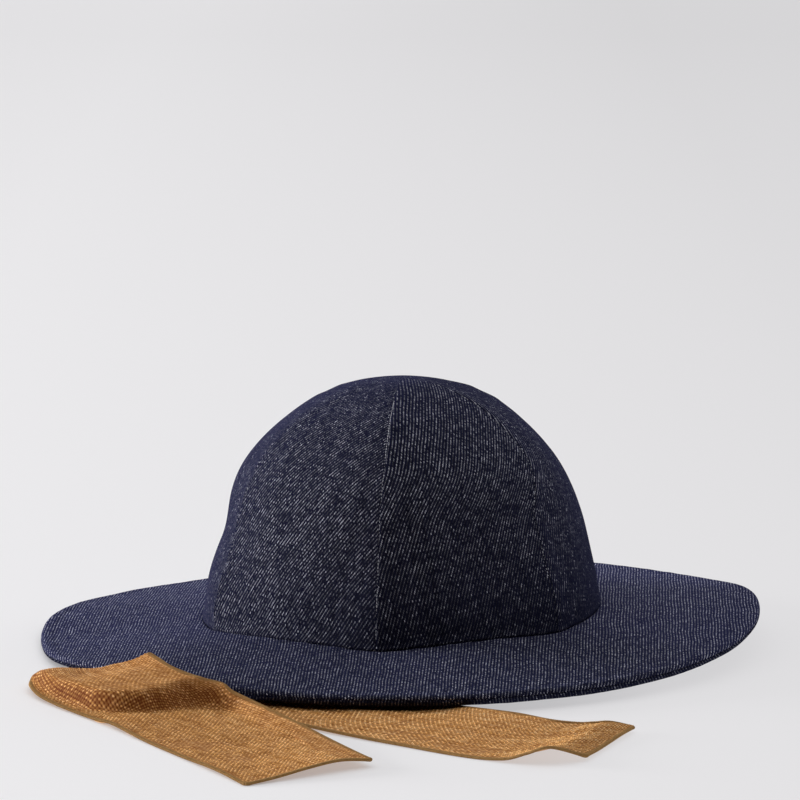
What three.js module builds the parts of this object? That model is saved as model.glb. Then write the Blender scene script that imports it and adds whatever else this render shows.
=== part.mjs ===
// Sun hat: a round crown of six sewn denim gores, a wide two-ply denim brim and two loose ribbon ties.
// Millimetres, +Z up. The origin is on the floor, under the crown's upright axis, and the front is -Y.
// An azimuth is measured in degrees from the front (-Y) toward the wearer's left (+X).
import * as THREE from "three";

const CLOTH_GAP = 0.3;            // space left between neighbouring pieces of cloth

const GORE_COUNT = 6;
const CROWN_WALL = 1.6;
const TURN_IN = 3;                // how far the crown's lower edge goes down inside the brim
const GORE_FLATNESS = 0.2;        // 0 is a round crown, 1 is a straight-sided one
const SEAM_SINK = 0.5;            // how far a gore rolls in beside its seam
const SEAM_ROLL = 2.5;            // width of that roll

const BRIM_PLY = 1.6;
const HOLE_ROOM = 0.4;            // space between the crown's lower edge and the hole in the brim
const SLICES_PER_GORE = 14;

const TIE_THICKNESS = 1.2;
const STATIONS_PER_ROW = 3;       // between two rows of a tie's table
const TIE_STRIPS = 10;

// The crown's outline through the middle of a gore, from its top to its lower edge.
const CROWN_OUTLINE = [
  { radius: 0.3, height: 125.4 },
  { radius: 9, height: 125.3 },
  { radius: 19, height: 124 },
  { radius: 31, height: 120.5 },
  { radius: 41.5, height: 115.6 },
  { radius: 49.5, height: 111 },
  { radius: 61.5, height: 101.2 },
  { radius: 70.2, height: 91.5 },
  { radius: 76.2, height: 82.4 },
  { radius: 80.2, height: 73 },
  { radius: 83.4, height: 62 },
  { radius: 86.2, height: 51 },
  { radius: 88.8, height: 42 },
  { radius: 92, height: 32 },
  { radius: 93.6, height: 23 },
  { radius: 94, height: 12 },
];

// The azimuth of each gore seam round the top of the crown and round its foot.
const SEAMS = [
  { top: -7, foot: -7.3 },
  { top: 54.5, foot: 47.5 },
  { top: 114, foot: 111 },
  { top: 174, foot: 174 },
  { top: 234, foot: 234 },
  { top: 294.5, foot: 295.5 },
];
const SEAM_SWAY = { above: 94, below: 68 };   // heights between which a seam moves from one to the other

// Soft places where the worn crown stands out or is pushed in: half width round the crown in
// degrees, half height in millimetres.
const DENTS = [
  { azimuth: 92, height: 56, halfWidth: 34, halfHeight: 18, push: 1.7 },
  { azimuth: 60, height: 108, halfWidth: 60, halfHeight: 20, push: 0.6 },
  { azimuth: -90, height: 57, halfWidth: 26, halfHeight: 11, push: -1.4 },
  { azimuth: 44, height: 68, halfWidth: 12, halfHeight: 16, push: -1.4 },
];

// The line where the crown meets the brim, and the outer edge of the brim, round the hat.
// The line dips a little at each gore seam, and the brim sits lower at the left than at the right.
const HAT_LINES = [
  { azimuth: -180, join: 14.2, edge: 4.2, reach: 170, roll: 2.2 },
  { azimuth: -150, join: 13.2, edge: 2.1, reach: 170, roll: 1.9 },
  { azimuth: -126, join: 11.8, edge: 2.5, reach: 170.5, roll: 1.9 },
  { azimuth: -100, join: 12.2, edge: 4.9, reach: 171, roll: 2 },
  { azimuth: -82, join: 12.2, edge: 2.25, reach: 171, roll: 2 },
  { azimuth: -66, join: 12.9, edge: 4.3, reach: 173, roll: 2 },
  { azimuth: -45, join: 15.3, edge: 6.8, reach: 170.5, roll: 2.3 },
  { azimuth: -25, join: 15.5, edge: 6.8, reach: 170, roll: 2.7 },
  { azimuth: -6, join: 13.9, edge: 6.4, reach: 170, roll: 2.8 },
  { azimuth: 14, join: 16.5, edge: 6.6, reach: 170, roll: 2.9 },
  { azimuth: 30, join: 17.4, edge: 7, reach: 170, roll: 2.9 },
  { azimuth: 46, join: 16.6, edge: 9, reach: 170, roll: 2.9 },
  { azimuth: 60, join: 17.5, edge: 11.8, reach: 170, roll: 2.8 },
  { azimuth: 75, join: 18.3, edge: 15, reach: 169.5, roll: 2.7 },
  { azimuth: 90, join: 18.1, edge: 16.8, reach: 169.5, roll: 2.4 },
  { azimuth: 104, join: 17.3, edge: 16.4, reach: 171.5, roll: 2.2 },
  { azimuth: 118, join: 16.6, edge: 12.6, reach: 171.5, roll: 2.2 },
  { azimuth: 136, join: 17, edge: 10.7, reach: 170.5, roll: 2.2 },
  { azimuth: 156, join: 15.8, edge: 8.6, reach: 170, roll: 2.2 },
];

// One brim ply near its outer edge: its outer face stands above its flat inner face by a share of
// the rolled edge and a share of the plain ply. The roll is full over the turned-in allowance.
const BRIM_EDGE = [
  { inset: 0, ofRoll: 0.2, ofPly: 0 },
  { inset: 0.7, ofRoll: 0.7, ofPly: 0 },
  { inset: 2.2, ofRoll: 1, ofPly: 0 },
  { inset: 4.6, ofRoll: 0.97, ofPly: 0 },
  { inset: 7, ofRoll: 0.28, ofPly: 0.6 },
  { inset: 13, ofRoll: 0, ofPly: 1 },
];
const TOP_ROLL = 1.85;            // height of the upper ply's rolled edge

// Each tie from its sewn end to its free end: one hem, the other hem, and how far the cloth
// stands above the straight line between them at each quarter of its width. Where a tie is raised
// into a fold it stands higher still, by a rise at each hem and a dome between them. Where a tie is raised
// into a fold it stands higher still, by a rise at each hem and a dome between them. Where a tie is raised
// into a fold it stands higher still, by a rise at each hem and a dome between them. Where a tie is raised
// into a fold it stands higher still, by a rise at each hem and a dome between them.
const LEFT_TIE = [
  { x1: -105, y1: -10, z1: 6.6, x2: -78, y2: -71, z2: 8, lift1: 0, lift2: 0, lift3: 0,
    rise1: 0, rise2: 0, dome: 0 },
  { x1: -125, y1: -32, z1: 3.6, x2: -86, y2: -87, z2: 5.8, lift1: 0, lift2: 0, lift3: 0,
    rise1: 0, rise2: 0, dome: 0 },
  { x1: -143, y1: -54, z1: 1.4, x2: -97, y2: -109, z2: 3.6, lift1: 0, lift2: 0, lift3: 0,
    rise1: 0, rise2: 0, dome: 0 },
  { x1: -156, y1: -76, z1: 0.8, x2: -109, y2: -126, z2: 2.4, lift1: 0, lift2: 0, lift3: 0,
    rise1: 0, rise2: 0, dome: 0 },
  { x1: -162, y1: -90, z1: 1.4, x2: -113.2, y2: -130.5, z2: 4.6, lift1: 1, lift2: 1, lift3: 0.4,
    rise1: 0, rise2: 0, dome: 1.5 },
  { x1: -165, y1: -99, z1: 2.2, x2: -114, y2: -131, z2: 5, lift1: 0.4, lift2: 0.4, lift3: 0.2,
    rise1: 0, rise2: 8, dome: 0.6 },
  { x1: -168, y1: -109, z1: 3, x2: -113.2, y2: -131.5, z2: 4, lift1: 1.6, lift2: -1.2, lift3: -0.9,
    rise1: 3, rise2: 15.8, dome: -1.4 },
  { x1: -168, y1: -121, z1: 3, x2: -108.5, y2: -138, z2: 4, lift1: 1.4, lift2: -0.8, lift3: -0.6,
    rise1: 5, rise2: 15.2, dome: -2.6 },
  { x1: -163, y1: -137, z1: 2, x2: -102, y2: -148, z2: 4, lift1: 0, lift2: 0, lift3: 0,
    rise1: 6.6, rise2: 13.2, dome: -1 },
  { x1: -155, y1: -152, z1: 1.4, x2: -93.5, y2: -157, z2: 3.6, lift1: 0, lift2: 0, lift3: 0,
    rise1: 7.5, rise2: 12, dome: 0 },
  { x1: -149.5, y1: -161, z1: 1.2, x2: -88.5, y2: -161, z2: 3.4, lift1: 0, lift2: 0, lift3: 0,
    rise1: 8, rise2: 11.6, dome: 0.3 },
  { x1: -143, y1: -171, z1: 1, x2: -82.5, y2: -162.5, z2: 3, lift1: 0, lift2: 0, lift3: 0,
    rise1: 8, rise2: 10.8, dome: 0.5 },
  { x1: -138.5, y1: -178, z1: 1, x2: -78.5, y2: -164, z2: 2.8, lift1: 0, lift2: 0, lift3: 0,
    rise1: 8, rise2: 10.2, dome: 0 },
  { x1: -134, y1: -185, z1: 1.1, x2: -75, y2: -168, z2: 2.6, lift1: 0.3, lift2: 0.2, lift3: 0,
    rise1: 8, rise2: 9.6, dome: 0 },
  { x1: -127, y1: -196, z1: 1.8, x2: -67, y2: -178, z2: 3.4, lift1: -0.2, lift2: -0.5, lift3: -0.6,
    rise1: 8, rise2: 7, dome: 0 },
  { x1: -111, y1: -226, z1: 0.8, x2: -50, y2: -205, z2: 3.5, lift1: -0.7, lift2: -1, lift3: -0.6,
    rise1: 4, rise2: 3.5, dome: 0 },
  { x1: -94.5, y1: -256, z1: 0.8, x2: -34, y2: -233, z2: 3.8, lift1: -1.4, lift2: -1.6, lift3: -0.9,
    rise1: 0, rise2: 1, dome: 0 },
  { x1: -79, y1: -284, z1: 1.4, x2: -22, y2: -255, z2: 3.6, lift1: -0.8, lift2: -0.4, lift3: 0.2,
    rise1: 0, rise2: 0, dome: 0 },
  { x1: -65, y1: -311, z1: 0.6, x2: -12, y2: -274, z2: 3, lift1: 0.7, lift2: 2.1, lift3: 2.6,
    rise1: 0, rise2: 0, dome: 0 },
];
// The line in plan along which the left tie steps down from its raised fold to the floor, and half
// the width of that step. The raised cloth is on the left of the line as it runs.
const FOLD_LINE = [
  { x: -176, y: -88, half: 3.5 },
  { x: -168.5, y: -104, half: 3 },
  { x: -159.5, y: -130, half: 3 },
  { x: -148.5, y: -149.5, half: 3 },
  { x: -137, y: -164.5, half: 3.2 },
  { x: -127, y: -170.5, half: 3.2 },
  { x: -118.5, y: -172.3, half: 3.4 },
  { x: -110.5, y: -172.2, half: 4 },
  { x: -103, y: -169.8, half: 4.8 },
  { x: -96, y: -166.2, half: 5.6 },
  { x: -88.5, y: -165.8, half: 5.2 },
  { x: -81, y: -167.8, half: 4.8 },
  { x: -74, y: -173.5, half: 5 },
  { x: -67, y: -184, half: 6 },
  { x: -58, y: -202, half: 8 },
  { x: -48, y: -226, half: 9 },
];
const RIGHT_TIE = [
  { x1: -62, y1: -86, z1: 8, x2: 1, y2: -106, z2: 8.6, lift1: 0, lift2: 0, lift3: 0 },
  { x1: -70, y1: -106, z1: 4.6, x2: -4, y2: -119, z2: 6.4, lift1: 0, lift2: 0, lift3: 0 },
  { x1: -72, y1: -130, z1: 1.6, x2: -2, y2: -129, z2: 4.6, lift1: 0, lift2: 0, lift3: 0 },
  { x1: -67, y1: -156, z1: 0.8, x2: 3, y2: -139, z2: 3.4, lift1: -0.4, lift2: -0.3, lift3: -0.1 },
  { x1: -56, y1: -179, z1: 1, x2: 12, y2: -149, z2: 2.8, lift1: -0.7, lift2: -0.8, lift3: -0.5 },
  { x1: -42, y1: -199, z1: 1.4, x2: 23, y2: -160, z2: 2.4, lift1: -0.8, lift2: -1, lift3: -0.8 },
  { x1: -19, y1: -220, z1: 1, x2: 36, y2: -171, z2: 3, lift1: -0.9, lift2: -1.2, lift3: -0.8 },
  { x1: 4, y1: -239, z1: 0.8, x2: 51, y2: -185, z2: 4, lift1: -0.9, lift2: -1.2, lift3: -0.8 },
  { x1: 25, y1: -256, z1: 0.6, x2: 65, y2: -200, z2: 4.4, lift1: -1, lift2: -1.4, lift3: -1 },
  { x1: 42, y1: -266, z1: 0.6, x2: 77, y2: -204, z2: 4, lift1: -0.8, lift2: -1, lift3: -0.8 },
  { x1: 52, y1: -270, z1: 4.6, x2: 84, y2: -205, z2: 4.4, lift1: -1.1, lift2: -1.4, lift3: -0.9 },
  { x1: 62, y1: -272, z1: 8, x2: 91, y2: -205, z2: 4.6, lift1: -1.7, lift2: -1.9, lift3: -1.1 },
  { x1: 78, y1: -263, z1: 2, x2: 101.5, y2: -203, z2: 1.8, lift1: -0.3, lift2: 0, lift3: 0.3 },
].map((row) => ({ ...row, rise1: 0, rise2: 0, dome: 0 }));

const denim = (name) => new THREE.MeshStandardMaterial({ name, color: 0x252839, roughness: 0.9, metalness: 0 });
const ribbon = (name) => new THREE.MeshStandardMaterial({ name, color: 0xa8753f, roughness: 0.85, metalness: 0 });

const radians = (degrees) => (degrees * Math.PI) / 180;
const mix = (a, b, share) => a + (b - a) * share;

// A smooth value between four evenly taken neighbours, passing through the middle two.
function through(a, b, c, d, share) {
  const bend = 0.5 * (2 * a - 5 * b + 4 * c - d) * share + 0.5 * (3 * b - a - 3 * c + d) * share * share;
  return b + share * (0.5 * (c - a) + bend);
}

// A named column of an open table, read smoothly at a position counted in rows.
function column(table, name, position) {
  const row = Math.min(Math.floor(position), table.length - 2);
  const at = (index) => {
    if (index < 0) return 2 * table[0][name] - table[1][name];
    if (index >= table.length) return 2 * table[table.length - 1][name] - table[table.length - 2][name];
    return table[index][name];
  };
  return through(at(row - 1), at(row), at(row + 1), at(row + 2), position - row);
}

// A named column of HAT_LINES, read smoothly at any azimuth.
function aroundHat(name, azimuth) {
  const count = HAT_LINES.length;
  const turned = ((azimuth + 180) % 360 + 360) % 360 - 180;
  let row = count - 1;
  while (HAT_LINES[row].azimuth > turned) row -= 1;
  const point = (offset) => {
    const index = row + offset;
    const lap = Math.floor(index / count);
    const entry = HAT_LINES[index - lap * count];
    return { azimuth: entry.azimuth + 360 * lap, value: entry[name] };
  };
  const [before, start, end, after] = [point(-1), point(0), point(1), point(2)];
  const span = end.azimuth - start.azimuth;
  const share = (turned - start.azimuth) / span;
  const startSlope = ((end.value - before.value) / (end.azimuth - before.azimuth)) * span;
  const endSlope = ((after.value - start.value) / (after.azimuth - start.azimuth)) * span;
  return hermite(start.value, end.value, startSlope, endSlope, share);
}

function hermite(start, end, startSlope, endSlope, share) {
  const rest = 1 - share;
  return (1 + 2 * share) * rest * rest * start + share * share * (3 - 2 * share) * end
    + share * rest * (rest * startSlope - share * endSlope);
}

// Collects a closed surface: points by number, and quads and triangles that share them.
class Skin {
  constructor() {
    this.places = [];
    this.corners = [];
  }

  point([x, y, z]) {
    this.places.push(x, y, z);
    return this.places.length / 3 - 1;
  }

  triangle(a, b, c) {
    this.corners.push(a, b, c);
  }

  quad(a, b, c, d) {
    this.triangle(a, b, c);
    this.triangle(a, c, d);
  }

  mesh(name, material) {
    const geometry = new THREE.BufferGeometry();
    geometry.setAttribute("position", new THREE.Float32BufferAttribute(this.places, 3));
    geometry.setIndex(this.corners);
    geometry.computeVertexNormals();
    const mesh = new THREE.Mesh(geometry, material);
    mesh.name = name;
    return mesh;
  }
}

const onAzimuth = (radius, azimuth, height) => {
  const turn = radians(azimuth);
  return [radius * Math.sin(turn), -radius * Math.cos(turn), height];
};

// ---- Crown ----

const CROWN_FOOT = CROWN_OUTLINE[CROWN_OUTLINE.length - 1].height;
const CROWN_STRAIGHT = 50;        // below this height the gores stretch to meet the join line
const halfGore = 180 / GORE_COUNT;

const smooth = (share) => share * share * (3 - 2 * share);
const within = (value, low, high) => Math.min(Math.max(value, low), high);

// The azimuth of a seam at a height. Seam numbers go on past the last one, a lap later.
function seamAzimuth(number, height) {
  const { top, foot } = SEAMS[number % GORE_COUNT];
  const drop = within((SEAM_SWAY.above - height) / (SEAM_SWAY.above - SEAM_SWAY.below), 0, 1);
  return mix(top, foot, smooth(drop)) + 360 * Math.floor(number / GORE_COUNT);
}

// A gore is flatter across than a circle, so the crown is a little wider at its seams.
// Across a gore, share runs from -1 at one seam to 1 at the next.
const seamSwell = (share) => 1 + GORE_FLATNESS * (1 / Math.cos(radians(halfGore * share)) - 1);

function seamDip(share, radius) {
  const away = radius * radians(halfGore * (1 - Math.abs(share)));
  return SEAM_SINK * Math.exp(-((away / SEAM_ROLL) ** 2));
}

function pushedOut(azimuth, height) {
  return DENTS.reduce((total, dent) => {
    const turn = ((azimuth - dent.azimuth + 540) % 360 - 180) / dent.halfWidth;
    const rise = (height - dent.height) / dent.halfHeight;
    return total + dent.push * Math.exp(-(turn * turn + rise * rise));
  }, 0);
}

// A point of the crown's outer or inner face: position counts rows of CROWN_OUTLINE, and room is
// the space kept to the seam.
function crownPoint(number, position, share, depth, room) {
  const step = 0.02;
  const swell = seamSwell(share);
  const outline = (where) => [column(CROWN_OUTLINE, "radius", where) * swell, column(CROWN_OUTLINE, "height", where)];
  const last = CROWN_OUTLINE.length - 1;
  const [r0, z0] = outline(Math.max(position - step, 0));
  const [r1, z1] = outline(Math.min(position + step, last));
  const length = Math.hypot(r1 - r0, z1 - z0);
  const [out, up] = [-(z1 - z0) / length, (r1 - r0) / length];
  const [plainRadius, plainHeight] = outline(position);
  const seams = [seamAzimuth(number - 1, plainHeight), seamAzimuth(number, plainHeight)];
  const middle = (seams[0] + seams[1]) / 2;
  const spread = (seams[1] - seams[0]) / 2;
  const inward = depth + seamDip(share, plainRadius) - pushedOut(middle + share * spread, plainHeight);
  const radius = plainRadius - inward * out;
  const azimuth = middle + share * (spread - (Math.asin(room / radius) * 180) / Math.PI);
  const low = Math.max(0, (CROWN_STRAIGHT - plainHeight) / (CROWN_STRAIGHT - CROWN_FOOT));
  const foot = aroundHat("join", azimuth) - TURN_IN;
  return { radius, azimuth, height: mix(plainHeight - inward * up, foot, low ** 3) };
}

// The radius of the crown's lower edge, which is turned down inside the brim.
function crownFootRadius(azimuth) {
  const fromFirst = ((azimuth - SEAMS[0].foot) % 360 + 360) % 360 + SEAMS[0].foot;
  let number = 1;
  while (seamAzimuth(number, 0) < fromFirst) number += 1;
  const [start, end] = [seamAzimuth(number - 1, 0), seamAzimuth(number, 0)];
  const share = (2 * (fromFirst - start)) / (end - start) - 1;
  return crownPoint(number, CROWN_OUTLINE.length - 1, share, 0, 0).radius;
}

const GORE_COLUMNS = [-1, -0.95, -0.85, -0.6, -0.25, 0.25, 0.6, 0.85, 0.95, 1];
const GORE_ROWS = [0, 1, 2, 3, 4, 5, 6, 7, 8, 9, 10.3, 11.6, 13, 14, 15];

function goreFace(skin, number, depth) {
  return GORE_ROWS.map((position, row) => {
    if (row === 0) {
      const tip = crownPoint(number, 0, 0, 0, 0);
      return [skin.point(onAzimuth(tip.radius, tip.azimuth, tip.height - depth))];
    }
    return GORE_COLUMNS.map((share) => {
      const place = crownPoint(number, position, share, depth, CLOTH_GAP / 2);
      return skin.point(onAzimuth(place.radius, place.azimuth, place.height));
    });
  });
}

function gore(number) {
  const skin = new Skin();
  const outer = goreFace(skin, number, 0);
  const inner = goreFace(skin, number, CROWN_WALL);
  const last = GORE_COLUMNS.length - 1;
  const foot = GORE_ROWS.length - 1;
  for (let side = 0; side < last; side += 1) {
    skin.triangle(outer[0][0], outer[1][side], outer[1][side + 1]);
    skin.triangle(inner[0][0], inner[1][side + 1], inner[1][side]);
    for (let row = 1; row < foot; row += 1) {
      skin.quad(outer[row][side], outer[row + 1][side], outer[row + 1][side + 1], outer[row][side + 1]);
      skin.quad(inner[row][side], inner[row][side + 1], inner[row + 1][side + 1], inner[row + 1][side]);
    }
    skin.quad(outer[foot][side], inner[foot][side], inner[foot][side + 1], outer[foot][side + 1]);
  }
  const edge = (face, row, side) => (row === 0 ? face[0][0] : face[row][side]);
  for (let row = 0; row < foot; row += 1) {
    skin.quad(edge(outer, row, 0), edge(inner, row, 0), edge(inner, row + 1, 0), edge(outer, row + 1, 0));
    skin.quad(edge(outer, row + 1, last), edge(inner, row + 1, last), edge(inner, row, last), edge(outer, row, last));
  }
  return skin.mesh(`crown_panel_${number}`, denim("denim_gore"));
}

// ---- Brim ----

// One section of a ply as [radius, height] points, going round it once.
function plySection(azimuth, upward) {
  const inside = crownFootRadius(azimuth) + HOLE_ROOM;
  const reach = aroundHat("reach", azimuth);
  const join = aroundHat("join", azimuth) - BRIM_PLY - CLOTH_GAP / 2;
  const edge = aroundHat("edge", azimuth);
  const midway = (radius) => mix(join, edge, (radius - inside) / (reach - inside));
  const roll = upward > 0 ? TOP_ROLL : aroundHat("roll", azimuth);
  const face = (radius, rise) => [radius, midway(radius) + upward * (CLOTH_GAP / 2 + rise)];
  const section = BRIM_EDGE.map(({ inset, ofRoll, ofPly }) => face(reach - inset, ofRoll * roll + ofPly * BRIM_PLY));
  for (const share of [0.6, 0.3, 0]) section.push(face(mix(inside, reach, share), BRIM_PLY));
  for (const share of [0, 0.5, 1]) section.push(face(mix(inside, reach, share), 0));
  return section;
}

function brimPly(name, upward) {
  const skin = new Skin();
  const rings = [];
  const slices = GORE_COUNT * SLICES_PER_GORE;
  for (let slice = 0; slice < slices; slice += 1) {
    const azimuth = SEAMS[0].foot + (360 * slice) / slices;
    rings.push(plySection(azimuth, upward).map(([radius, height]) => skin.point(onAzimuth(radius, azimuth, height))));
  }
  rings.forEach((ring, slice) => {
    const next = rings[(slice + 1) % slices];
    ring.forEach((corner, index) => {
      const after = (index + 1) % ring.length;
      if (upward > 0) skin.quad(corner, next[index], next[after], ring[after]);
      else skin.quad(corner, ring[after], next[after], next[index]);
    });
  });
  return skin.mesh(name, denim("denim_brim"));
}

// ---- Ties ----

const TIE_FLOOR = TIE_THICKNESS / 2;

// The middle of the cloth, part of the way along the tie and part of the way across it.
// How far a place in plan lies on the raised side of the fold: 0 on the floor, 1 on the fold.
function raisedShare(x, y) {
  let nearest = { away: Infinity };
  for (let index = 1; index < FOLD_LINE.length; index += 1) {
    const [start, end] = [FOLD_LINE[index - 1], FOLD_LINE[index]];
    const run = new THREE.Vector2(end.x - start.x, end.y - start.y);
    const gap = new THREE.Vector2(x - start.x, y - start.y);
    const passed = THREE.MathUtils.clamp(gap.dot(run) / run.lengthSq(), 0, 1);
    gap.addScaledVector(run, -passed);
    if (gap.length() < nearest.away) {
      nearest = { away: gap.length(), side: Math.sign(run.cross(gap)), half: mix(start.half, end.half, passed) };
    }
  }
  const share = 0.5 + nearest.side * nearest.away / (2 * nearest.half);
  return smooth(THREE.MathUtils.clamp(share, 0, 1));
}

function tieMiddle(table, along, across) {
  const read = (name) => column(table, name, along * (table.length - 1));
  const lifts = [0, read("lift1"), read("lift2"), read("lift3"), 0].map((lift) => ({ lift }));
  const lift = column(lifts, "lift", across * (lifts.length - 1));
  const [x, y] = [mix(read("x1"), read("x2"), across), mix(read("y1"), read("y2"), across)];
  const dome = 4 * read("dome") * across * (1 - across);
  const rise = raisedShare(x, y) * (mix(read("rise1"), read("rise2"), across) + dome);
  return new THREE.Vector3(x, y, Math.max(mix(read("z1"), read("z2"), across) + lift + rise, TIE_FLOOR));
}

function tieNormal(table, along, across) {
  const step = 0.01;
  const [back, ahead] = [Math.max(along - step, 0), Math.min(along + step, 1)];
  const [left, right] = [Math.max(across - step, 0), Math.min(across + step, 1)];
  const lengthwise = tieMiddle(table, ahead, across).sub(tieMiddle(table, back, across));
  const crosswise = tieMiddle(table, along, right).sub(tieMiddle(table, along, left));
  return lengthwise.cross(crosswise).normalize();
}

function tie(name, table) {
  const skin = new Skin();
  const stations = STATIONS_PER_ROW * (table.length - 1);
  const face = (side) => {
    const grid = [];
    for (let station = 0; station <= stations; station += 1) {
      const row = [];
      for (let strip = 0; strip <= TIE_STRIPS; strip += 1) {
        const [along, across] = [station / stations, strip / TIE_STRIPS];
        const place = tieMiddle(table, along, across);
        place.addScaledVector(tieNormal(table, along, across), side * TIE_THICKNESS / 2);
        place.z = Math.max(place.z, side < 0 ? 0 : TIE_THICKNESS);
        row.push(skin.point(place.toArray()));
      }
      grid.push(row);
    }
    return grid;
  };
  const [top, bottom] = [face(1), face(-1)];
  for (let station = 0; station < stations; station += 1) {
    for (let strip = 0; strip < TIE_STRIPS; strip += 1) {
      const [next, beside] = [station + 1, strip + 1];
      skin.quad(top[station][strip], top[next][strip], top[next][beside], top[station][beside]);
      skin.quad(bottom[station][strip], bottom[station][beside], bottom[next][beside], bottom[next][strip]);
    }
    const next = station + 1;
    const far = TIE_STRIPS;
    skin.quad(top[station][0], bottom[station][0], bottom[next][0], top[next][0]);
    skin.quad(top[station][far], top[next][far], bottom[next][far], bottom[station][far]);
  }
  for (let strip = 0; strip < TIE_STRIPS; strip += 1) {
    const end = stations;
    skin.quad(top[0][strip], top[0][strip + 1], bottom[0][strip + 1], bottom[0][strip]);
    skin.quad(top[end][strip], bottom[end][strip], bottom[end][strip + 1], top[end][strip + 1]);
  }
  return skin.mesh(name, ribbon("ribbon"));
}

const hat = new THREE.Group();
hat.name = "sun_hat";
for (let number = 1; number <= GORE_COUNT; number += 1) hat.add(gore(number));
hat.add(brimPly("brim_top", 1), brimPly("brim_under", -1));
hat.add(tie("tie_left", LEFT_TIE), tie("tie_right", RIGHT_TIE));

export default hat;
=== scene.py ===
import math

import bpy
import numpy as np
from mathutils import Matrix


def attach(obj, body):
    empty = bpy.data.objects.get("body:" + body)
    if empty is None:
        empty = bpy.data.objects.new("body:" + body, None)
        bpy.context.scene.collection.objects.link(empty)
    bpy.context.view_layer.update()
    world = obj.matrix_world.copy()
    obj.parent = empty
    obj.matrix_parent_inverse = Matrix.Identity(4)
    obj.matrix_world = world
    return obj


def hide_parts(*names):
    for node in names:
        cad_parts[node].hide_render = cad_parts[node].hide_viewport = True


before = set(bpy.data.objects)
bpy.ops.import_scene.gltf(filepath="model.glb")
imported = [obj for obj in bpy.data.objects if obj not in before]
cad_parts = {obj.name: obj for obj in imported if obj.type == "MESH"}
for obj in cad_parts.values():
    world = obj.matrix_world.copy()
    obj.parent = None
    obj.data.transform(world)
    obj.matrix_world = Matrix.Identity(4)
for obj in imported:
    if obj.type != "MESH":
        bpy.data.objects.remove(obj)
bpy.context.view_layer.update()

# ---- Studio ----
# A camera a little above the table, a pale floor that runs far back, a very wide soft light high
# behind the hat, a low narrower one on its left, and weak light from all round.
MM = 0.001
CAMERA_PLACE = (-0.0009, -2.3301, 0.4634)
CAMERA_DIP = 8.5
LENS = 225
FLOOR_REACH = 40
FLOOR_TINT = (1, 0.99, 1.01)
# The floor's colour is painted darker to the right and to the back: painted shade. It also glows, more
# to the right: painted light, which lightens and softens the hat's shadows. Its own colour makes up the
# rest of its brightness under the lamps.
FLOOR_BRIGHTNESS, FLOOR_SPAN = (0.835, 0.735), (-0.3, 0.3)
FLOOR_FAR_SHARE, FLOOR_DEPTH = 0.875, (-0.4, 3.8)
FLOOR_GLOW, GLOW_SPAN = (0.20, 0.63), (-0.1, 0.12)
FLOOR_LIGHT = 0.875
ROOM_LIGHT = ((0.97, 0.97, 1.0), 0.01)
LAMPS = [
    {"name": "dome", "azimuth": -172, "height": 58, "spread": 150, "power": 2.7},
    {"name": "side", "azimuth": -102, "height": 5, "spread": 26, "power": 4.6},
]


def node_with(tree, kind, inputs, **settings):
    """Adds a node, sets or links its inputs by name or number, and gives it back."""
    node = tree.nodes.new(kind)
    for name, value in settings.items():
        setattr(node, name, value)
    for socket, value in inputs.items():
        if isinstance(value, bpy.types.NodeSocket):
            tree.links.new(value, node.inputs[socket])
        elif value is not None:
            node.inputs[socket].default_value = value
    return node


def put(tree, kind, *inputs, out=0, **settings):
    """Adds a node with its inputs in order, and gives back one of its outputs."""
    return node_with(tree, kind, dict(enumerate(inputs)), **settings).outputs[out]


def maths(tree, kind="ShaderNodeMath"):
    """A short way to write Math nodes, or Vector Math nodes, in one tree."""
    return lambda operation, *values: put(tree, kind, *values, operation=operation)


def vector_maths(tree):
    return maths(tree, "ShaderNodeVectorMath")


def x_and_y(tree, place):
    return node_with(tree, "ShaderNodeSeparateXYZ", {0: place}).outputs[:2]


def material(name, **finish):
    """A material with one Principled shader, and its node tree and shader node."""
    made = bpy.data.materials.new(name)
    made.use_nodes = True
    shader = made.node_tree.nodes["Principled BSDF"]
    for socket, value in finish.items():
        shader.inputs[socket.replace("_", " ")].default_value = value
    return made, made.node_tree, shader


def scene_object(name, data):
    """A new object in the scene."""
    made = bpy.data.objects.new(name, data)
    bpy.context.scene.collection.objects.link(made)
    return made


def mesh_object(name, points, faces, materials, finish_of_face=None):
    """A smooth shaded mesh object in the scene, with its points in metres."""
    mesh = bpy.data.meshes.new(name)
    mesh.from_pydata(np.asarray(points).tolist(), [], [tuple(face) for face in faces])
    for finish in materials:
        mesh.materials.append(finish)
    mesh.polygons.foreach_set("use_smooth", [True] * len(mesh.polygons))
    if finish_of_face is not None:
        mesh.polygons.foreach_set("material_index", finish_of_face)
    return scene_object(name, mesh)


camera = scene_object("camera", bpy.data.cameras.new("camera"))
camera.data.sensor_width = 36
camera.data.lens = LENS
camera.data.clip_start, camera.data.clip_end = 0.05, 200
camera.location = CAMERA_PLACE
camera.rotation_euler = (math.radians(90 - CAMERA_DIP), 0, 0)
bpy.context.scene.camera = camera
bpy.context.scene.view_settings.view_transform = "Standard"

room = bpy.data.worlds.new("room")
room.use_nodes = True
room.node_tree.nodes["Background"].inputs["Color"].default_value = (*ROOM_LIGHT[0], 1)
room.node_tree.nodes["Background"].inputs["Strength"].default_value = ROOM_LIGHT[1]
bpy.context.scene.world = room

for lamp in LAMPS:
    light = bpy.data.lights.new(lamp["name"], "SUN")
    light.energy = lamp["power"]
    light.angle = math.radians(lamp["spread"])
    holder = scene_object(lamp["name"], light)
    holder.rotation_euler = (math.radians(90 - lamp["height"]), 0, math.radians(lamp["azimuth"]))

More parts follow.
